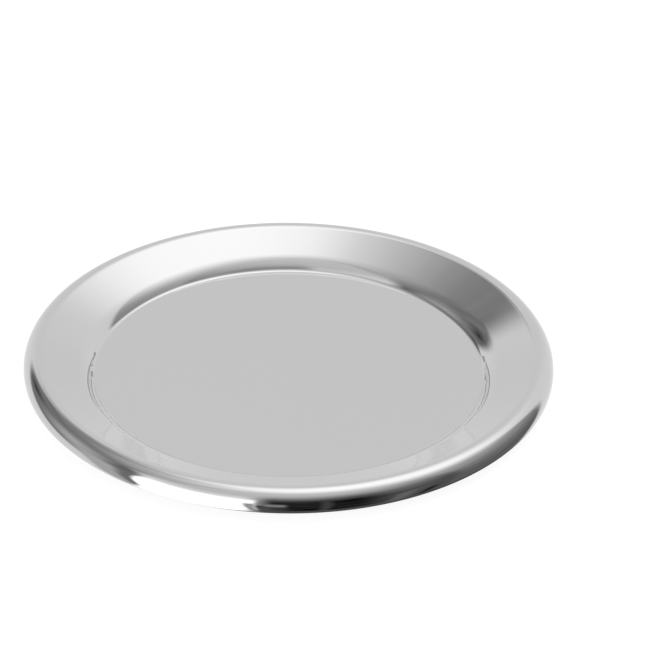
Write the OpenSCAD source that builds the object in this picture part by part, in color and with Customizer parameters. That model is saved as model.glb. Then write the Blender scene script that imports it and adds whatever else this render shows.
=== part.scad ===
// Round coin tray, pressed from one disc of polished stainless steel.
// The section runs from the flat floor up a sloping wall, over a rounded
// shoulder and along a wide dished rim to a crown, and ends in a bead that
// is curled round a stiffening wire. The tray stands on its flat floor:
// the origin is the middle of the underside, and Z points up.

/* [Overall size] */
// Diameter over the outer edge of the rim
tray_d = 140; // [110:1:200]
// Height from the underside of the floor to the top of the rim
tray_h = 8; // [7:0.1:16]
// Thickness of the steel sheet
sheet_t = 0.6; // [0.4:0.05:1]

/* [Rim] */
// Radius of the crown, on its polished face
crown_r = 4; // [3:0.1:6]
// Width of the sloping rim, from the top of the crown to the shoulder
rim_w = 12.3; // [8:0.1:16]
// Slope at which the rim falls inwards, in degrees
rim_slope = 23.5; // [12:0.5:28]
// Straight drop between the crown and the bead
skirt_h = 0.2; // [0.1:0.1:2]

/* [Well] */
// Slope of the wall between the rim and the floor, in degrees
wall_slope = 50; // [34:1:70]
// Radius of the shoulder where the rim turns down into the wall
shoulder_r = 10; // [2:0.5:20]
// Radius of the corner where the wall meets the floor
corner_r = 1.5; // [0.5:0.1:3]

/* [Wired edge] */
// Diameter of the wire inside the bead
wire_d = 1.2; // [0.8:0.1:2]
// Gap between the wire and the sheet curled round it
wire_gap = 0.02; // [0:0.01:0.1]
// How far the sheet is curled round the wire, in degrees
curl_wrap = 240; // [190:5:270]

/* [Hidden] */

// Every arc and revolve is drawn with this many sides
$fn = 128;
// Widest step of a pie slice, in degrees
slice_step = 60;
// Each bend stands this far proud of the slopes beside it, and its slice
// runs on by this angle, so that the faces cross and never just touch
seam = 0.002;
seam_lap = 5;
// How far the curled bead laps up into the skirt, in degrees
bead_lap = 10;

outer_r = tray_d / 2;

// Centre of the crown, and of the wire in the bead below it
crown_pos = [outer_r - crown_r, tray_h - crown_r];
bead_in_r = wire_d / 2 + wire_gap;
bead_pos = [outer_r - sheet_t - bead_in_r, crown_pos[1] - skirt_h];

// Unit vectors along a rising slope and square to it, on the polished side
function along(slope) = [cos(slope), sin(slope)];
function square_to(slope) = [-sin(slope), cos(slope)];

// Where the rim's slope runs into the crown
rim_high = crown_pos + (crown_r - seam) * square_to(rim_slope);
// Where the rim's slope would meet the wall's, if the shoulder were sharp
shoulder_pos = rim_high
    - (rim_high[0] - crown_pos[0] + rim_w) / cos(rim_slope) * along(rim_slope);
// Where the wall's slope would meet the floor's polished face
foot_pos = [
    shoulder_pos[0] - (shoulder_pos[1] - sheet_t) / tan(wall_slope),
    sheet_t
];

// Lengths of the two slopes between their sharp corners
wall_len = norm(shoulder_pos - foot_pos);
rim_len = norm(rim_high - shoulder_pos);

// Each bend takes this share of its radius from the slope beside it
foot_share = tan(wall_slope / 2);
shoulder_share = tan((wall_slope - rim_slope) / 2);

// A bend is never larger than the slopes beside it allow
foot_r = min(corner_r, wall_len / 2 / foot_share);
foot_cut = foot_r * foot_share;
bend_r = min(shoulder_r, min(wall_len - foot_cut, rim_len) / shoulder_share);
bend_cut = (bend_r - seam) * shoulder_share;

// Ends of the straight wall, and the low end of the straight rim
wall_low = foot_pos + foot_cut * along(wall_slope);
wall_high = shoulder_pos - bend_cut * along(wall_slope);
rim_low = shoulder_pos + bend_cut * along(rim_slope);

// Flat part of the floor, and the centres of the two bends
floor_r = foot_pos[0] - foot_cut + seam / sin(wall_slope);
foot_centre = [floor_r, sheet_t + foot_r];
bend_centre = rim_low - (bend_r - seam) * square_to(rim_slope);

// Ring with the section of a disc's slice between two angles
module spun_slice(centre, r, from, to) {
    steps = ceil((to - from) / slice_step);
    reach = r / cos(slice_step);
    rotate_extrude() translate(centre) intersection() {
        circle(r = r);
        polygon(concat(
            [[0, 0]],
            [for (i = [0:steps])
                let (a = from + (to - from) * i / steps)
                [reach * cos(a), reach * sin(a)]]
        ));
    }
}

// Ring with a round section
module spun_circle(centre, r) {
    rotate_extrude() translate(centre) circle(r = r);
}

// All that lies under a face of the sheet, down to a depth below the tray.
// A face is named by how far it lies beneath the polished one.
module under_face(beneath, depth) {
    wall_shift = beneath * square_to(wall_slope);
    rim_shift = beneath * square_to(rim_slope);
    difference() {
        union() {
            rotate_extrude() polygon([
                [0, -depth],
                [0, sheet_t - beneath],
                [floor_r, sheet_t - beneath],
                wall_low - wall_shift,
                wall_high - wall_shift,
                rim_low - rim_shift,
                rim_high - rim_shift,
                [outer_r - beneath, crown_pos[1]],
                [outer_r - beneath, -depth]
            ]);
            spun_slice(bend_centre, bend_r - beneath,
                90 + rim_slope - seam_lap, 90 + wall_slope + seam_lap);
            spun_slice(crown_pos, crown_r - beneath, 0, 90 + rim_slope + seam_lap);
        }
        spun_circle(foot_centre, foot_r + beneath);
    }
}

// The pressed sheet, from the middle of the floor out to the skirt's end
module pressed_sheet() {
    depth = bend_r + tray_h;
    difference() {
        under_face(0, sheet_t);
        under_face(sheet_t, depth);
        rotate_extrude() translate([bead_pos[0], -depth])
            square([outer_r, depth + bead_pos[1]]);
    }
}

// The sheet's edge, curled inwards round the wire
module bead() {
    difference() {
        spun_slice(bead_pos, bead_in_r + sheet_t, -curl_wrap, bead_lap);
        spun_circle(bead_pos, bead_in_r);
    }
}

// Floor, wall, rim, crown and curled bead, pressed from one sheet
module tray_pan() {
    color("gainsboro") {
        pressed_sheet();
        bead();
    }
}

// Round wire that the edge of the sheet is curled over
module edge_wire() {
    color("darkgray") spun_circle(bead_pos, wire_d / 2);
}

tray_pan();
edge_wire();
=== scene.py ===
"""Round coin tray in mirror-polished stainless steel, on a plain studio stage.

The tray is one sheet, spun from a single section line that follows its
polished face from the middle of the floor to the edge curled round a wire.
"""
import math
from typing import NamedTuple

import bpy
from bpy.props import FloatProperty, FloatVectorProperty, IntProperty, PointerProperty
from mathutils import Euler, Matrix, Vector


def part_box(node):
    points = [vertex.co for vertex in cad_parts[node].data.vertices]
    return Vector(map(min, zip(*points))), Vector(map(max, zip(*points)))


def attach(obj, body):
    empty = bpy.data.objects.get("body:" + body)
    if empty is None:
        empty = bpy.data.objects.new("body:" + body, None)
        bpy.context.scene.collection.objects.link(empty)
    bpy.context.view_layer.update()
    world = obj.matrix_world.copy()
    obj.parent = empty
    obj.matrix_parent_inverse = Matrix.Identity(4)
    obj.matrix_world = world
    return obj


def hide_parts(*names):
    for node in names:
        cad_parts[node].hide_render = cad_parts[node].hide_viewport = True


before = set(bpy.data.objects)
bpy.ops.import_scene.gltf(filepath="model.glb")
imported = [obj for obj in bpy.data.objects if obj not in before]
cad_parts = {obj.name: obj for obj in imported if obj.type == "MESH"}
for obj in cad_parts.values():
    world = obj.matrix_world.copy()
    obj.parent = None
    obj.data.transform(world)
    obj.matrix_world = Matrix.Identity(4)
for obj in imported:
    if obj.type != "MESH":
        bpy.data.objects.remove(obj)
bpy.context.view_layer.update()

bl_info = {
    "name": "Coin Tray",
    "version": (1, 0, 0),
    "blender": (4, 5, 0),
    "location": "View3D > Sidebar > Coin Tray",
    "description": "Builds a round coin tray in polished steel, and a stage to show it on",
    "category": "Add Mesh",
}

MM = 0.001
# The tray's axis, and the one that arcs in the section's XZ plane turn round
UP_AXIS = (0.0, 0.0, 1.0)
SECTION_AXIS = (0.0, 1.0, 0.0)
TRAY_LOW, TRAY_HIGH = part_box("tray_pan")
WIRE_LOW, WIRE_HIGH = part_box("edge_wire")

# Steps in the arc of each bend, of the crown and of the curl
BEND_STEPS = 14
CROWN_STEPS = 40
CURL_STEPS = 32
# A straight part has one more point this far short of its end, which keeps the
# shading of the next bend off it
GUARD = 0.15 * MM
# Points closer than this are merged
MERGE_DISTANCE = 0.001 * MM
# Edges sharper than this stay sharp: those of the sheet's cut edge alone
SHARP_EDGE = math.radians(40)

# Spacing and depth of the rings that buffing leaves: finer on a real tray, and drawn
# as coarse as they need to be to show
BUFF_RING = 0.35 * MM
BUFF_RING_HEIGHT = 0.0015 * MM
# Spacing and depth of the lines that the drawing die leaves along the wire, which are
# finer on real wire too
DIE_LINE = 0.08 * MM
DIE_LINE_HEIGHT = 0.002 * MM
# About how many streaks a ring or a line breaks into over a quarter turn
STREAKS = 4
# Width and height of the shallow waves that pressing leaves
PRESS_WAVE = 16 * MM
PRESS_WAVE_HEIGHT = 0.03 * MM
# Width of the patches of scuffing underneath, which starts below the first of two
# heights and is full below the second
SCUFF = 0.8 * MM
SCUFF_START, SCUFF_FULL = 0.3 * MM, 0.05 * MM
# Most of a pattern's values lie between these two
PATTERN_LOW, PATTERN_HIGH = 0.3, 0.7
# Scuffing starts a little higher in its pattern, with bright steel left between
SCUFF_PATTERN_LOW = 0.35
# Least and most roughness of each finish
BUFFED_LOW, BUFFED_HIGH = 0.015, 0.05
SCUFFED_LOW, SCUFFED_HIGH = 0.05, 0.3
DRAWN_LOW, DRAWN_HIGH = 0.18, 0.34

# The stage floor's width, and how far it lies under the tray, so that no faces meet
FLOOR_SIZE = 6.0
FLOOR_DROP = 0.02 * MM
# Width of the camera's sensor, in millimetres as its lens is, and the nearest it sees
SENSOR_WIDTH = 36.0
CLIP_START = 10 * MM


def srgb(hex_colour):
    """Linear colour, with alpha, of an sRGB hex value."""
    channels = [int(hex_colour[i:i + 2], 16) / 255 for i in (1, 3, 5)]
    return [c / 12.92 if c <= 0.04045 else ((c + 0.055) / 1.055) ** 2.4 for c in channels] + [1.0]


class TraySizes(bpy.types.PropertyGroup):
    """Sizes of the pressed tray and of the curl in its edge"""

    outer_radius: FloatProperty(
        name="Outer radius", description="Radius over the outer edge of the rim",
        default=TRAY_HIGH.x, unit="LENGTH", subtype="DISTANCE")
    height: FloatProperty(
        name="Height", description="Height from the underside of the floor to the top of the rim",
        default=TRAY_HIGH.z, unit="LENGTH", subtype="DISTANCE")
    sheet: FloatProperty(
        name="Sheet", description="Thickness of the steel sheet",
        default=0.6 * MM, unit="LENGTH", subtype="DISTANCE")
    crown_radius: FloatProperty(
        name="Crown radius", description="Radius of the crown, on its polished face",
        default=4.0 * MM, unit="LENGTH", subtype="DISTANCE")
    rim_width: FloatProperty(
        name="Rim width",
        description="Width of the sloping rim, from the top of the crown to the shoulder",
        default=12.3 * MM, unit="LENGTH", subtype="DISTANCE")
    rim_slope: FloatProperty(
        name="Rim slope", description="Slope at which the rim falls inwards",
        default=math.radians(23.5), subtype="ANGLE")
    wall_slope: FloatProperty(
        name="Wall slope", description="Slope of the wall between the rim and the floor",
        default=math.radians(50), subtype="ANGLE")
    shoulder_radius: FloatProperty(
        name="Shoulder radius", description="Radius where the rim turns down into the wall",
        default=10.0 * MM, unit="LENGTH", subtype="DISTANCE")
    foot_radius: FloatProperty(
        name="Foot radius", description="Radius of the corner where the wall meets the floor",
        default=1.5 * MM, unit="LENGTH", subtype="DISTANCE")
    skirt: FloatProperty(
        name="Skirt", description="Straight drop between the crown and the bead",
        default=0.2 * MM, unit="LENGTH", subtype="DISTANCE")
    wire_gap: FloatProperty(
        name="Wire gap", description="Gap between the wire and the sheet curled round it",
        default=0.02 * MM, unit="LENGTH", subtype="DISTANCE")
    curl_wrap: FloatProperty(
        name="Curl wrap", description="How far the edge of the sheet is curled round the wire",
        default=math.radians(240), subtype="ANGLE")
    turn_steps: IntProperty(
        name="Turn steps", description="Steps in the full turn that the section is spun through",
        default=320, min=64, max=512)


class TrayColours(bpy.types.PropertyGroup):
    """Colours of the steel and of the stage"""

    steel: FloatVectorProperty(
        name="Polished steel", description="What the mirror-polished sheet reflects",
        size=4, subtype="COLOR", default=srgb("#C8C8C8"))
    wire: FloatVectorProperty(
        name="Wire steel", description="What the drawn wire reflects",
        size=4, subtype="COLOR", default=srgb("#B4B5B6"))
    floor: FloatVectorProperty(
        name="Stage floor", description="Colour of the plain floor under the tray",
        size=4, subtype="COLOR", default=srgb("#9E9E9E"))


class StageSetup(bpy.types.PropertyGroup):
    """Where the camera stands and how the stage is lit"""

    distance: FloatProperty(
        name="Camera distance", description="From the camera to the middle of the tray",
        default=600 * MM, unit="LENGTH", subtype="DISTANCE")
    elevation: FloatProperty(
        name="Camera elevation", description="Height of the camera above the tray, as an angle",
        default=math.radians(31.832), subtype="ANGLE")
    turn: FloatVectorProperty(
        name="Camera turn", description="Tilt, roll and heading of the camera",
        size=3, subtype="EULER", default=[math.radians(a) for a in (58.780, -0.910, -0.727)])
    lens: FloatProperty(
        name="Lens", description="Focal length, in millimetres on a 36 mm wide sensor",
        default=122.32, subtype="DISTANCE_CAMERA")
    sky: FloatProperty(
        name="Sky", description="Brightness of the white surroundings", default=1.0, min=0.0)


class Section:
    """One line drawn in edit mode in the XZ plane, as a pencil would draw it."""

    def __init__(self, name, start):
        bpy.ops.object.select_all(action="DESELECT")
        bpy.ops.mesh.primitive_plane_add(size=MM, location=(start.x, 0.0, start.y))
        self.piece = bpy.context.active_object
        self.piece.name = name
        bpy.ops.object.transform_apply(location=True, rotation=True, scale=True)
        bpy.ops.object.mode_set(mode="EDIT")
        bpy.ops.mesh.select_all(action="SELECT")
        bpy.ops.mesh.merge(type="CENTER")
        self.at = start

    def line(self, end, guard=0.0):
        """Straight to end, with one more point a guard short of it where one is given."""
        full = end - self.at
        last = full.normalized() * guard
        steps = [full - last, last] if guard > 0 else [full]
        for step in steps:
            bpy.ops.mesh.extrude_region_move(
                TRANSFORM_OT_translate={"value": (step.x, 0.0, step.y)})
        self.at = end

    def arc(self, centre, angle, steps):
        """Round centre by angle, clockwise as seen from the front where it is positive."""
        bpy.ops.mesh.spin(
            steps=steps, angle=-angle, center=(centre.x, 0.0, centre.y), axis=SECTION_AXIS)
        arm = self.at - centre
        c, s = math.cos(angle), math.sin(angle)
        self.at = centre + Vector((arm.x * c + arm.y * s, arm.y * c - arm.x * s))

    def turn(self, steps):
        """Spins the whole line round the tray's axis, and closes the seam and the pole."""
        bpy.ops.mesh.select_all(action="SELECT")
        bpy.ops.mesh.spin(
            steps=steps, angle=math.tau, center=(0.0, 0.0, 0.0), axis=UP_AXIS, use_auto_merge=True)
        bpy.ops.mesh.select_all(action="SELECT")
        bpy.ops.mesh.remove_doubles(threshold=MERGE_DISTANCE)
        bpy.ops.mesh.normals_make_consistent(inside=False)
        bpy.ops.object.mode_set(mode="OBJECT")


def slope_along(angle):
    """Unit vector along a rising slope, in the section's plane."""
    return Vector((math.cos(angle), math.sin(angle)))


def slope_square(angle):
    """Unit vector square to a rising slope, on the polished side."""
    return Vector((-math.sin(angle), math.cos(angle)))


def spin_polished_face(size):
    """The polished face of the whole sheet, spun from its section."""
    crown = Vector((size.outer_radius - size.crown_radius, size.height - size.crown_radius))
    bead_inner = (WIRE_HIGH.z - WIRE_LOW.z) / 2 + size.wire_gap
    bead = Vector((size.outer_radius - size.sheet - bead_inner, crown.y - size.skirt))
    rim_high = crown + size.crown_radius * slope_square(size.rim_slope)
    rim_run = (rim_high.x - crown.x + size.rim_width) / math.cos(size.rim_slope)
    shoulder = rim_high - rim_run * slope_along(size.rim_slope)
    foot = Vector((shoulder.x - (shoulder.y - size.sheet) / math.tan(size.wall_slope), size.sheet))
    foot_cut = size.foot_radius * math.tan(size.wall_slope / 2)
    bend_cut = size.shoulder_radius * math.tan((size.wall_slope - size.rim_slope) / 2)
    wall_high = shoulder - bend_cut * slope_along(size.wall_slope)
    shoulder_centre = wall_high - size.shoulder_radius * slope_square(size.wall_slope)

    line = Section("pressed_tray", Vector((0.0, size.sheet)))
    line.line(Vector((foot.x - foot_cut, size.sheet)), GUARD)
    line.arc(line.at + Vector((0.0, size.foot_radius)), -size.wall_slope, BEND_STEPS)
    line.line(wall_high, GUARD)
    line.arc(shoulder_centre, size.wall_slope - size.rim_slope, BEND_STEPS)
    line.line(rim_high, GUARD)
    line.arc(crown, size.rim_slope + math.pi / 2, CROWN_STEPS)
    line.line(line.at - Vector((0.0, size.skirt)))
    line.arc(bead, size.curl_wrap, CURL_STEPS)
    line.turn(size.turn_steps)
    return line.piece


def add_node(tree, kind, inputs=None, **settings):
    """Adds a node, sets its properties, and gives each named input a value or a link."""
    node = tree.nodes.new(kind)
    for name, value in settings.items():
        setattr(node, name, value)
    for socket, value in (inputs or {}).items():
        if isinstance(value, bpy.types.NodeSocket):
            tree.links.new(value, node.inputs[socket])
        else:
            node.inputs[socket].default_value = value
    return node


def new_material(name, inputs):
    """Material with one principled shader, and that shader's inputs set."""
    material = bpy.data.materials.new(name)
    material.use_nodes = True
    tree = material.node_tree
    tree.nodes.clear()
    shader = add_node(tree, "ShaderNodeBsdfPrincipled", inputs)
    add_node(tree, "ShaderNodeOutputMaterial", {"Surface": shader.outputs["BSDF"]})
    return material, tree, shader


def turned_lines(tree, place, spacing):
    """Lines that follow the turn of a round piece, broken into long streaks.

    They come from noise in four dimensions: how far out, how high up and, for the
    streaks, the two that say which way a point lies. Its scale is the streaks', and
    the first two are drawn closer to make the lines.
    """
    axes = add_node(tree, "ShaderNodeSeparateXYZ", {"Vector": place}).outputs
    level = add_node(tree, "ShaderNodeCombineXYZ", {"X": axes["X"], "Y": axes["Y"]})
    radius = add_node(tree, "ShaderNodeVectorMath", {
        0: level.outputs["Vector"]}, operation="LENGTH")
    heading = add_node(tree, "ShaderNodeVectorMath", {
        0: level.outputs["Vector"]}, operation="NORMALIZE")
    turn = add_node(tree, "ShaderNodeSeparateXYZ", {"Vector": heading.outputs["Vector"]}).outputs
    spot = add_node(tree, "ShaderNodeCombineXYZ", {
        "X": radius.outputs["Value"], "Y": axes["Z"], "Z": turn["X"]})
    closer = 1 / (spacing * STREAKS)
    across = add_node(tree, "ShaderNodeVectorMath", {
        0: spot.outputs["Vector"], 1: (closer, closer, 1.0)}, operation="MULTIPLY")
    lines = add_node(tree, "ShaderNodeTexNoise", {
        "Vector": across.outputs["Vector"], "W": turn["Y"], "Scale": STREAKS, "Detail": 1.0},
        noise_dimensions="4D")
    return lines.outputs["Fac"]


def polished_stainless(colour):
    """Stainless sheet, pressed, then buffed to a mirror as it spun.

    The press leaves it a little wavy, so that straight reflections waver, and the
    buff leaves fine rings round the tray. The underside is scuffed where it slides.
    """
    material, tree, shader = new_material("mirror_polished_stainless", {
        "Base Color": colour, "Metallic": 1.0})
    place = add_node(tree, "ShaderNodeTexCoord").outputs["Object"]
    rings = turned_lines(tree, place, BUFF_RING)
    waves = add_node(tree, "ShaderNodeTexNoise", {
        "Vector": place, "Scale": 1 / PRESS_WAVE, "Detail": 1.0})
    wavy = add_node(tree, "ShaderNodeBump", {
        "Strength": 1.0, "Distance": PRESS_WAVE_HEIGHT, "Height": waves.outputs["Fac"]})
    ringed = add_node(tree, "ShaderNodeBump", {
        "Strength": 1.0, "Distance": BUFF_RING_HEIGHT, "Height": rings,
        "Normal": wavy.outputs["Normal"]})
    tree.links.new(ringed.outputs["Normal"], shader.inputs["Normal"])

    # Rings differ a little in how far they were buffed
    buffed = add_node(tree, "ShaderNodeMapRange", {
        "Value": rings, "From Min": PATTERN_LOW, "From Max": PATTERN_HIGH,
        "To Min": BUFFED_LOW, "To Max": BUFFED_HIGH})
    rubbed = add_node(tree, "ShaderNodeTexNoise", {
        "Vector": place, "Scale": 1 / SCUFF, "Detail": 4.0})
    scuffed = add_node(tree, "ShaderNodeMapRange", {
        "Value": rubbed.outputs["Fac"], "From Min": SCUFF_PATTERN_LOW, "From Max": PATTERN_HIGH,
        "To Min": SCUFFED_LOW, "To Max": SCUFFED_HIGH})
    height = add_node(tree, "ShaderNodeSeparateXYZ", {"Vector": place}).outputs["Z"]
    underneath = add_node(tree, "ShaderNodeMapRange", {
        "Value": height, "From Min": SCUFF_START, "From Max": SCUFF_FULL})
    finish = add_node(tree, "ShaderNodeMix", {
        "Factor": underneath.outputs["Result"], "A": buffed.outputs["Result"],
        "B": scuffed.outputs["Result"]}, data_type="FLOAT")
    tree.links.new(finish.outputs["Result"], shader.inputs["Roughness"])
    return material


def drawn_wire(colour):
    """Stainless wire, cold drawn through a die: bright, with fine lines along it."""
    material, tree, shader = new_material("cold_drawn_steel_wire", {
        "Base Color": colour, "Metallic": 1.0})
    place = add_node(tree, "ShaderNodeTexCoord").outputs["Object"]
    lines = turned_lines(tree, place, DIE_LINE)
    scored = add_node(tree, "ShaderNodeBump", {
        "Strength": 1.0, "Distance": DIE_LINE_HEIGHT, "Height": lines})
    tree.links.new(scored.outputs["Normal"], shader.inputs["Normal"])
    finish = add_node(tree, "ShaderNodeMapRange", {
        "Value": lines, "From Min": PATTERN_LOW, "From Max": PATTERN_HIGH,
        "To Min": DRAWN_LOW, "To Max": DRAWN_HIGH})
    tree.links.new(finish.outputs["Result"], shader.inputs["Roughness"])
    return material


def pale_paper(colour):
    """Pale matt paper, lit until it is near white, so that only a soft shadow shows."""
    material, _, _ = new_material("pale_paper_floor", {
        "Base Color": colour, "Roughness": 0.9,
        "Emission Color": srgb("#FFFFFF"), "Emission Strength": 0.8})
    return material


class StudioArea(NamedTuple):
    """One area of the studio as the steel mirrors it, in degrees but for its glow.

    A bearing runs from the camera's side to the right, and a height up from the
    horizon. An area lies between two bearings, within reach of a centre, or both,
    and one with neither goes all the way round. A fade is the height up to which it
    is full, and the height at which it is gone. A glow of 1 is as bright as the
    white surroundings.
    """

    glow: float
    bearings: tuple = None
    edge_blur: float = 4
    centre: tuple = None
    reach: float = 0
    reach_blur: float = 6
    fade: tuple = None


# Painted in this order over white surroundings: softboxes, the backdrop, the grey and
# black flags that give polished steel its darks, what stands or hangs among them, and
# what spills from the strip light
FLAG_AREAS = {
    "overhead_softbox": StudioArea(1.78, centre=(163, 67), reach=15, reach_blur=18),
    "backdrop": StudioArea(0.92, centre=(180, 12), reach=26, reach_blur=10),
    "right_flag": StudioArea(0.17, bearings=(-80, 122), fade=(-22, 112)),
    "middle_flag": StudioArea(0.12, bearings=(-80, 71), edge_blur=5, fade=(0, 70)),
    "black_flag": StudioArea(0.02, bearings=(-80, 38), edge_blur=12, fade=(9, 68)),
    "light_stand": StudioArea(0.20, bearings=(43, 51), edge_blur=3, fade=(-15, 5)),
    "flag_gap": StudioArea(0.02, bearings=(57, 62), edge_blur=3, fade=(-22, -8)),
    "thin_stand": StudioArea(0.08, bearings=(13, 17), edge_blur=2, fade=(18, 40)),
    "black_cloth": StudioArea(0.06, bearings=(-20, -1), edge_blur=3, fade=(5, 16)),
    "cloth_edge": StudioArea(0.10, bearings=(-20, -7), edge_blur=2.5, fade=(25, 45)),
    "cloth_fold": StudioArea(0.34, bearings=(-9, -1), edge_blur=1.5, centre=(-5, -2), reach=8),
    "side_softbox": StudioArea(1.65, centre=(130, 63), reach=15, reach_blur=19),
    "left_flag": StudioArea(
        0.26, bearings=(-180, -66), edge_blur=5, centre=(-95, 37.5), reach=46.5, reach_blur=4,
        fade=(36, 86)),
    "left_flag_fringe": StudioArea(0.30, centre=(-162, 42), reach=5, reach_blur=9),
    "left_flag_corner": StudioArea(0.02, centre=(-135, 22), reach=4, reach_blur=8),
    "strip_glow": StudioArea(
        1.18, bearings=(-180, -14), edge_blur=8, centre=(-10, 42), reach=45.5, fade=(30, 76)),
    "left_flag_edge": StudioArea(0.18, bearings=(-80, -68), edge_blur=3, fade=(33, 42)),
    "left_scrim": StudioArea(0.62, centre=(-98, 19), reach=14, reach_blur=14),
    "left_scrim_foot": StudioArea(0.62, centre=(-80, 0), reach=15, reach_blur=10),
    "left_plinth": StudioArea(0.60, bearings=(-87, -62), edge_blur=6, fade=(-14, 2)),
}
# Stands and clamps break the dark flags up by this much, in patches so many degrees
# wide and high
CLUTTER = 0.22
CLUTTER_SIZE = (34, 5)
# The tall strip light and what borders it, painted over the flags
STRIP_AREAS = {
    "strip_frame": StudioArea(0.24, bearings=(-70.5, -60), edge_blur=4, fade=(22, 32)),
    "strip": StudioArea(2.20, bearings=(-63, -13.5), edge_blur=2, fade=(19, 39)),
    "strip_edge": StudioArea(0.48, bearings=(-17.5, -13), edge_blur=1.5, fade=(2, 10)),
    "lit_floor": StudioArea(
        2.20, bearings=(-178, -17.5), edge_blur=2, centre=(53, -11), reach=107,
        reach_blur=2.5, fade=(-28, -16)),
    "shaded_floor": StudioArea(0.12, centre=(90, 14), reach=113, reach_blur=4.5, fade=(-44, -34)),
}
# What steel seen in steel mirrors instead: a plain glow, for a second reflection and
# for later ones, with a dimmer band low down in it, which shows as a painted shade line
# where the steel mirrors itself
SECOND_GLOW = 1.46
LATER_GLOW = 1.62
DEEP_AREAS = {
    "painted_shade_line": StudioArea(0.75, fade=(28, 31)),
    "painted_shade_below_line": StudioArea(1.15, fade=(19, 22)),
}


def direction(bearing, height):
    """Unit vector towards a bearing and a height above the horizon, in degrees."""
    b, h = math.radians(bearing), math.radians(height)
    return Vector((math.sin(b) * math.cos(h), -math.cos(b) * math.cos(h), math.sin(h)))


def white_studio(sky):
    """White surroundings, with the areas of the studio painted on them."""
    world = bpy.data.worlds.new("white_studio")
    world.use_nodes = True
    tree = world.node_tree
    tree.nodes.clear()

    view = add_node(tree, "ShaderNodeTexCoord").outputs["Generated"]
    # Y runs away from the camera's side, and a bearing is measured from that side
    ahead = add_node(tree, "ShaderNodeVectorMath", {
        0: view, 1: (1.0, -1.0, 1.0)}, operation="MULTIPLY")
    axes = add_node(tree, "ShaderNodeSeparateXYZ", {"Vector": ahead.outputs["Vector"]}).outputs
    bearing = add_node(
        tree, "ShaderNodeMath", {0: axes["X"], 1: axes["Y"]}, operation="ARCTAN2").outputs["Value"]
    height = add_node(tree, "ShaderNodeMath", {0: axes["Z"]}, operation="ARCSINE").outputs["Value"]

    def mask(area):
        """How much of an area shows in each direction: all inside, none outside."""
        edges = []
        if area.bearings:
            low, high = area.bearings
            edges.append((bearing, low - area.edge_blur, low + area.edge_blur))
            edges.append((bearing, high + area.edge_blur, high - area.edge_blur))
        if area.centre:
            towards = add_node(tree, "ShaderNodeVectorMath", {
                0: view, 1: direction(*area.centre)}, operation="DOT_PRODUCT")
            off_centre = add_node(tree, "ShaderNodeMath", {
                0: towards.outputs["Value"]}, operation="ARCCOSINE")
            edges.append((
                off_centre.outputs["Value"],
                area.reach + area.reach_blur, area.reach - area.reach_blur))
        if area.fade:
            full, gone = area.fade
            edges.append((height, gone, full))
        share = 1.0
        for angle, outside, inside in edges:
            edge = add_node(tree, "ShaderNodeMapRange", {
                "Value": angle, "From Min": math.radians(outside), "From Max": math.radians(inside),
                "To Max": share}, interpolation_type="SMOOTHSTEP")
            share = edge.outputs["Result"]
        return share

    def paint(glow, areas):
        """Lays each area over the glow in turn."""
        for area in areas.values():
            painted = add_node(tree, "ShaderNodeMix", {
                "Factor": mask(area), "A": glow, "B": area.glow}, data_type="FLOAT")
            glow = painted.outputs["Result"]
        return glow

    glow = paint(sky, FLAG_AREAS)
    wide, high = [math.radians(angle) for angle in CLUTTER_SIZE]
    spot = add_node(tree, "ShaderNodeCombineXYZ", {"X": bearing, "Y": height})
    patch = add_node(tree, "ShaderNodeVectorMath", {
        0: spot.outputs["Vector"], 1: (wide, high, 1.0)}, operation="DIVIDE")
    clutter = add_node(tree, "ShaderNodeTexNoise", {
        "Vector": patch.outputs["Vector"], "Scale": 1.0, "Detail": 2.0})
    shade = add_node(tree, "ShaderNodeMapRange", {
        "Value": clutter.outputs["Fac"], "To Min": -CLUTTER / 2, "To Max": CLUTTER / 2})
    # White takes none of it and black takes all
    taken = add_node(tree, "ShaderNodeMapRange", {
        "Value": glow, "From Min": 1.0, "From Max": 0.0, "To Max": shade.outputs["Result"]})
    broken = add_node(tree, "ShaderNodeMath", {
        0: glow, 1: taken.outputs["Result"]}, operation="ADD")
    above_zero = add_node(tree, "ShaderNodeMath", {
        0: broken.outputs["Value"], 1: 0.0}, operation="MAXIMUM")
    glow = paint(above_zero.outputs["Value"], STRIP_AREAS)

    # A ray's depth is 2 at a first reflection, and grows by one at each that follows
    light_path = add_node(tree, "ShaderNodeLightPath").outputs
    deeper = add_node(tree, "ShaderNodeMapRange", {
        "Value": light_path["Ray Depth"], "From Min": 2.0, "From Max": 3.0})
    deep_glow = add_node(tree, "ShaderNodeMapRange", {
        "Value": light_path["Ray Depth"], "From Min": 3.0, "From Max": 4.0,
        "To Min": SECOND_GLOW, "To Max": LATER_GLOW})
    mirrored = add_node(tree, "ShaderNodeMix", {
        "Factor": deeper.outputs["Result"], "A": glow,
        "B": paint(deep_glow.outputs["Result"], DEEP_AREAS)}, data_type="FLOAT")
    seen = add_node(tree, "ShaderNodeMix", {
        "Factor": light_path["Is Camera Ray"], "A": mirrored.outputs["Result"], "B": sky},
        data_type="FLOAT")
    background = add_node(tree, "ShaderNodeBackground", {
        "Color": srgb("#FFFFFF"), "Strength": seen.outputs["Result"]})
    add_node(tree, "ShaderNodeOutputWorld", {"Surface": background.outputs["Background"]})
    return world


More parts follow.
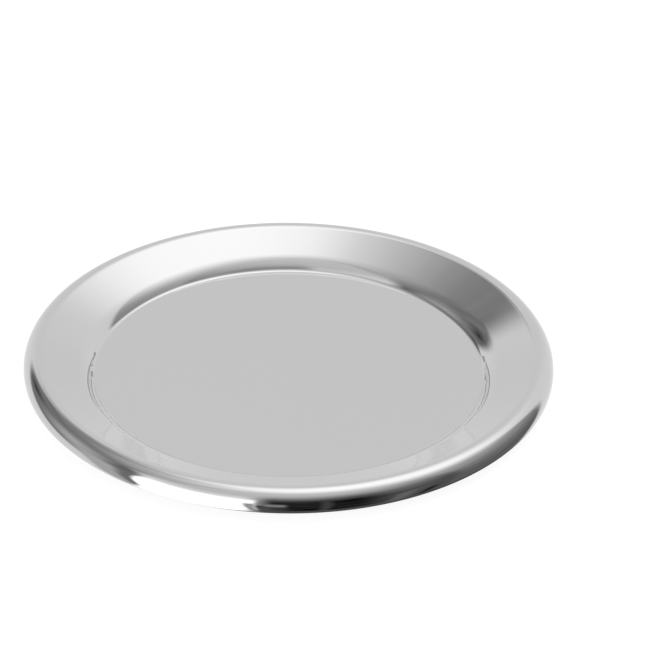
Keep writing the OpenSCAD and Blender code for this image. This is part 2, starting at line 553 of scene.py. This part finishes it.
class TRAY_OT_pan(bpy.types.Operator):
    """Spin the pressed tray from its section and give it its sheet thickness"""

    bl_idname = "tray.pan"
    bl_label = "Pressed Tray"

    def execute(self, context):
        size = context.scene.tray_sizes
        piece = spin_polished_face(size)
        # The polished face looks up, and the thickness goes under it
        middle = min(piece.data.polygons, key=lambda face: face.center.xy.length)
        if middle.normal.z < 0:
            bpy.ops.object.mode_set(mode="EDIT")
            bpy.ops.mesh.flip_normals()
            bpy.ops.object.mode_set(mode="OBJECT")
        sheet = piece.modifiers.new("Sheet", "SOLIDIFY")
        sheet.thickness = size.sheet
        sheet.offset = -1.0
        bpy.ops.object.modifier_apply(modifier=sheet.name)
        bpy.ops.object.shade_smooth_by_angle(angle=SHARP_EDGE)
        piece.data.materials.append(polished_stainless(context.scene.tray_colours.steel))
        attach(piece, "root")
        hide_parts("tray_pan")
        return {"FINISHED"}


class TRAY_OT_wire(bpy.types.Operator):
    """Give the wire in the tray's edge its drawn finish"""

    bl_idname = "tray.wire"
    bl_label = "Edge Wire"

    def execute(self, context):
        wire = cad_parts["edge_wire"]
        wire.data.materials.clear()
        wire.data.materials.append(drawn_wire(context.scene.tray_colours.wire))
        return {"FINISHED"}


class TRAY_OT_stage(bpy.types.Operator):
    """Lay the floor, paint the studio round it and aim the camera"""

    bl_idname = "tray.stage"
    bl_label = "Stage"

    def execute(self, context):
        setup = context.scene.tray_stage
        bpy.ops.object.select_all(action="DESELECT")
        bpy.ops.mesh.primitive_plane_add(size=FLOOR_SIZE, location=(0.0, 0.0, -FLOOR_DROP))
        floor = context.active_object
        floor.name = "stage_floor"
        floor.data.materials.append(pale_paper(context.scene.tray_colours.floor))
        # What the steel would mirror of the floor is painted in the studio instead
        floor.visible_glossy = False

        context.scene.world = white_studio(setup.sky)

        away = Vector((0.0, -math.cos(setup.elevation), math.sin(setup.elevation)))
        centre = Vector((0.0, 0.0, (TRAY_LOW.z + TRAY_HIGH.z) / 2))
        bpy.ops.object.camera_add(location=centre + setup.distance * away)
        camera = context.active_object
        camera.name = "photo_camera"
        camera.rotation_euler = Euler(setup.turn)
        camera.data.lens = setup.lens
        camera.data.sensor_width = SENSOR_WIDTH
        camera.data.clip_start = CLIP_START
        context.scene.camera = camera
        context.scene.view_settings.view_transform = "Standard"
        return {"FINISHED"}


class TRAY_PT_panel(bpy.types.Panel):
    """Lists the tray's pieces and its stage in the sidebar"""

    bl_label = "Coin Tray"
    bl_idname = "TRAY_PT_panel"
    bl_space_type = "VIEW_3D"
    bl_region_type = "UI"
    bl_category = "Coin Tray"

    def draw(self, context):
        for operator in OPERATORS:
            self.layout.operator(operator.bl_idname)


GROUPS = {"tray_sizes": TraySizes, "tray_colours": TrayColours, "tray_stage": StageSetup}
OPERATORS = (TRAY_OT_pan, TRAY_OT_wire, TRAY_OT_stage)
CLASSES = (*GROUPS.values(), *OPERATORS, TRAY_PT_panel)


def register():
    for cls in CLASSES:
        bpy.utils.register_class(cls)
    for name, group in GROUPS.items():
        setattr(bpy.types.Scene, name, PointerProperty(type=group))


def unregister():
    for name in GROUPS:
        delattr(bpy.types.Scene, name)
    for cls in reversed(CLASSES):
        bpy.utils.unregister_class(cls)


def main():
    """Builds the tray and its stage."""
    register()
    bpy.ops.tray.pan()
    bpy.ops.tray.wire()
    bpy.ops.tray.stage()


if __name__ == "__main__":
    main()
